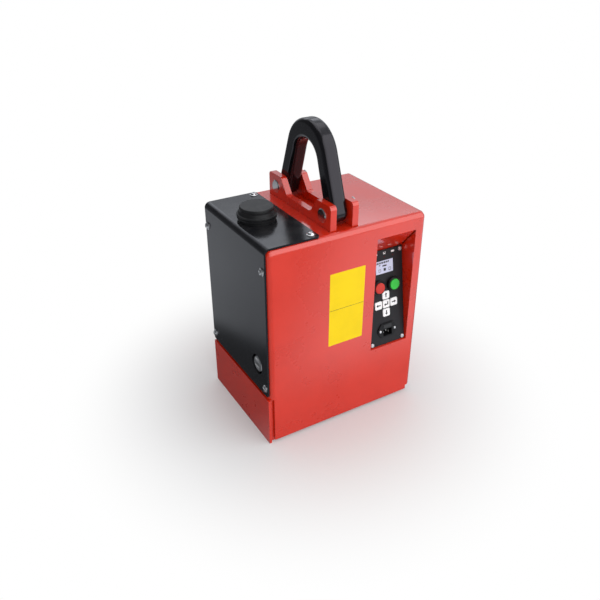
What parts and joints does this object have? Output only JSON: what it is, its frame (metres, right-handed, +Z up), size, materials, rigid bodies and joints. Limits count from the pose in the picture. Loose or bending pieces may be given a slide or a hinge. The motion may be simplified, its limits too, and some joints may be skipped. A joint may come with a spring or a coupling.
{
  "type": "battery lifting magnet",
  "caption": "Battery-powered lifting magnet: steel magnet base under a sheet housing with a battery cover, a leaning control panel in a recess, and a forged bow for a crane hook.",
  "frame": {"origin": "on the pole faces, below the middle of the housing", "axes": "+Z up to the lifting bow, -Y out of the control panel's side, -X out of the battery cover"},
  "size_m": [0.3924, 0.28, 0.66],
  "materials": {
    "red_paint": "satin",
    "black_paint": "satin",
    "black_forging": "satin",
    "pole_steel": "satin",
    "bright_steel": "satin",
    "copper_winding": "satin",
    "black_plastic": "matte",
    "rubber_seal": "matte",
    "chrome_knob": "satin",
    "panel_grey": "matte",
    "display_glass": "gloss",
    "lamp_lens": "gloss",
    "red_plastic": "satin",
    "green_plastic": "satin",
    "key_plastic": "matte",
    "board_green": "satin",
    "contact_brass": "polished",
    "fuse_glass": "gloss",
    "charger_alloy": "satin"
  },
  "bodies": {
    "housing": {"back_panel": "red_paint", "batteries": "black_plastic", "battery_cover": "black_paint", "battery_rack": "bright_steel", "battery_strap": "bright_steel", "bottom_plate": "pole_steel", "button_collars": "black_plastic", "centre_core": "pole_steel", "charger_unit": "charger_alloy", "coil_former": "black_plastic", "coil_winding": "copper_winding", "contact_blocks": "black_plastic", "contactor": "black_plastic", "control_board": "board_green", "control_panel": "panel_grey", "core_bolts": "bright_steel", "cover_screws": "bright_steel", "cover_strips": "bright_steel", "display_module": "black_plastic", "display_window": "display_glass", "front_closing_plate": "red_paint", "front_cover": "red_paint", "front_pin": "bright_steel", "inlet_contacts": "contact_brass", "inlet_screws": "bright_steel", "isolator_body": "black_plastic", "isolator_bracket": "bright_steel", "key_board": "board_green", "left_lug_plate": "red_paint", "left_pole": "pole_steel", "left_side_plate": "red_paint", "lifting_bow": "black_forging", "lug_spacers": "pole_steel", "mains_inlet": "black_plastic", "panel_screws": "bright_steel", "pin_washers": "bright_steel", "rear_closing_plate": "red_paint", "rear_pin": "bright_steel", "right_lug_plate": "red_paint", "right_pole": "pole_steel", "right_side_plate": "red_paint", "split_pins": "bright_steel", "status_lamps": "lamp_lens", "top_side_panel": "red_paint", "vent_neck": "black_plastic", "vent_seal": "rubber_seal", "weld_nuts": "bright_steel", "yoke_plate": "pole_steel"},
    "red_button": {"red_button": "red_plastic"},
    "green_button": {"green_button": "green_plastic"},
    "key_up": {"key_up": "key_plastic"},
    "key_down": {"key_down": "key_plastic"},
    "key_left": {"key_left": "key_plastic"},
    "key_right": {"key_right": "key_plastic"},
    "key_enter": {"key_enter": "key_plastic"},
    "fuse_drawer": {"fuse_drawer": "black_plastic", "mains_fuse": "fuse_glass"},
    "vent_cap": {"vent_cap": "black_plastic"},
    "isolator_knob": {"isolator_knob": "chrome_knob"}
  },
  "joints": [
    {"name": "red_button_press", "type": "slide", "parent": "housing", "child": "red_button", "axis": [0, 0.9871, -0.1599], "range_m": [0, 0.0035], "stiffness_N_per_m": 1200},
    {"name": "green_button_press", "type": "slide", "parent": "housing", "child": "green_button", "axis": [0, 0.9871, -0.1599], "range_m": [0, 0.0035], "stiffness_N_per_m": 1200},
    {"name": "key_up_press", "type": "slide", "parent": "housing", "child": "key_up", "axis": [0, 0.9871, -0.1599], "range_m": [0, 0.0008], "stiffness_N_per_m": 2500},
    {"name": "key_down_press", "type": "slide", "parent": "housing", "child": "key_down", "axis": [0, 0.9871, -0.1599], "range_m": [0, 0.0008], "stiffness_N_per_m": 2500},
    {"name": "key_left_press", "type": "slide", "parent": "housing", "child": "key_left", "axis": [0, 0.9871, -0.1599], "range_m": [0, 0.0008], "stiffness_N_per_m": 2500},
    {"name": "key_right_press", "type": "slide", "parent": "housing", "child": "key_right", "axis": [0, 0.9871, -0.1599], "range_m": [0, 0.0008], "stiffness_N_per_m": 2500},
    {"name": "key_enter_press", "type": "slide", "parent": "housing", "child": "key_enter", "axis": [0, 0.9871, -0.1599], "range_m": [0, 0.0008], "stiffness_N_per_m": 2500},
    {"name": "fuse_drawer_slide", "type": "slide", "parent": "housing", "child": "fuse_drawer", "axis": [0, -0.9871, 0.1599], "range_m": [0, 0.015]},
    {"name": "vent_cap_turn", "type": "hinge", "parent": "housing", "child": "vent_cap", "pos_m": [-0.1365, 0, 0.49], "axis": [0, 0, 1], "range_deg": [0, 90]},
    {"name": "isolator_turn", "type": "hinge", "parent": "housing", "child": "isolator_knob", "pos_m": [-0.1885, -0.09, 0.186], "axis": [-1, 0, 0], "range_deg": [0, 90]}
  ]
}
